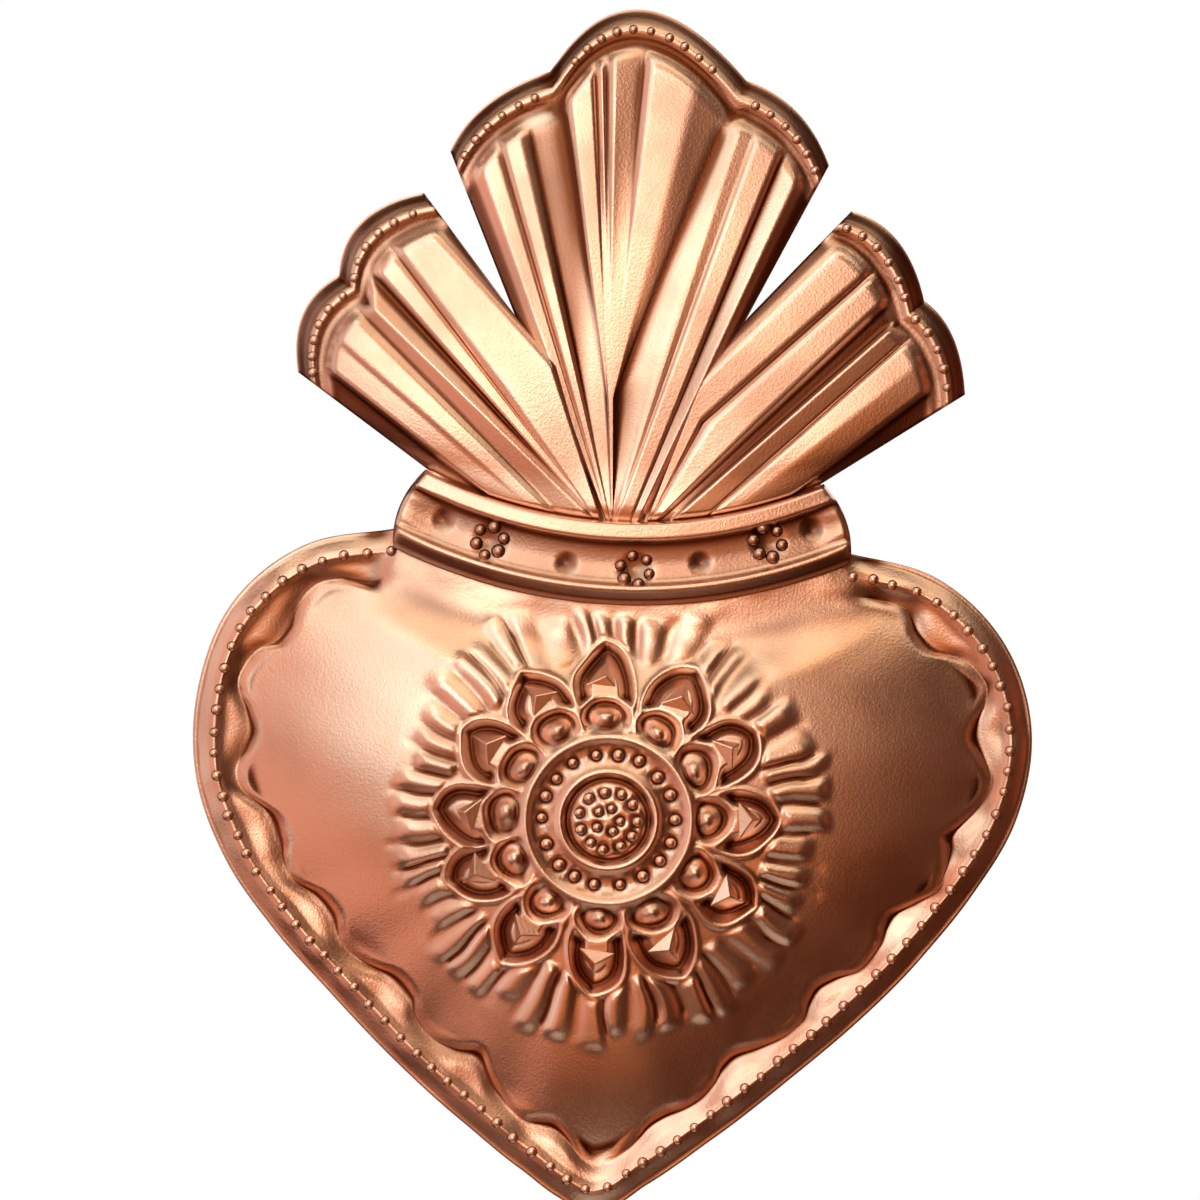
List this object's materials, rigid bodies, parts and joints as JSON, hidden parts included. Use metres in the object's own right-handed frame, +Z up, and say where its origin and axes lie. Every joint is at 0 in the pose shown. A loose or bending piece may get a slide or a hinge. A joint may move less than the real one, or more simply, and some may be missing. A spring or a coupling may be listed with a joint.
{
  "type": "milagro heart",
  "caption": "Repousse copper heart wall ornament with a flame fan, collar band, domed rosette, beaded scalloped border and a swinging hanging ring behind",
  "frame": {"origin": "where the nail that carries the hanging ring leaves the wall, under the inside top of the ring", "axes": "+Z up along the height, +X to the viewer's right, the embossed front faces -Y and the open back lies on the wall at y = 0"},
  "size_m": [0.1048, 0.0109, 0.15],
  "materials": {
    "copper_sheet": "satin copper sheet, embossed and lightly toned",
    "copper_wire": "drawn copper wire",
    "soft_solder": "dull grey soft solder"
  },
  "bodies": {
    "ornament": {"heart_sheet": "copper_sheet", "collar_band": "copper_sheet", "flame_fan": "copper_sheet", "hanger_strap": "copper_sheet", "solder_seam_heart": "soft_solder", "solder_seam_fan": "soft_solder", "solder_tack_left": "soft_solder", "solder_tack_right": "soft_solder"},
    "ring": {"hanging_ring": "copper_wire"}
  },
  "joints": [
    {"name": "ring_hinge", "type": "hinge", "parent": "ornament", "child": "ring", "pos_m": [0, -0.00205, -0.00969], "axis": [-1, 0, 0], "range_deg": [0, 178]}
  ]
}
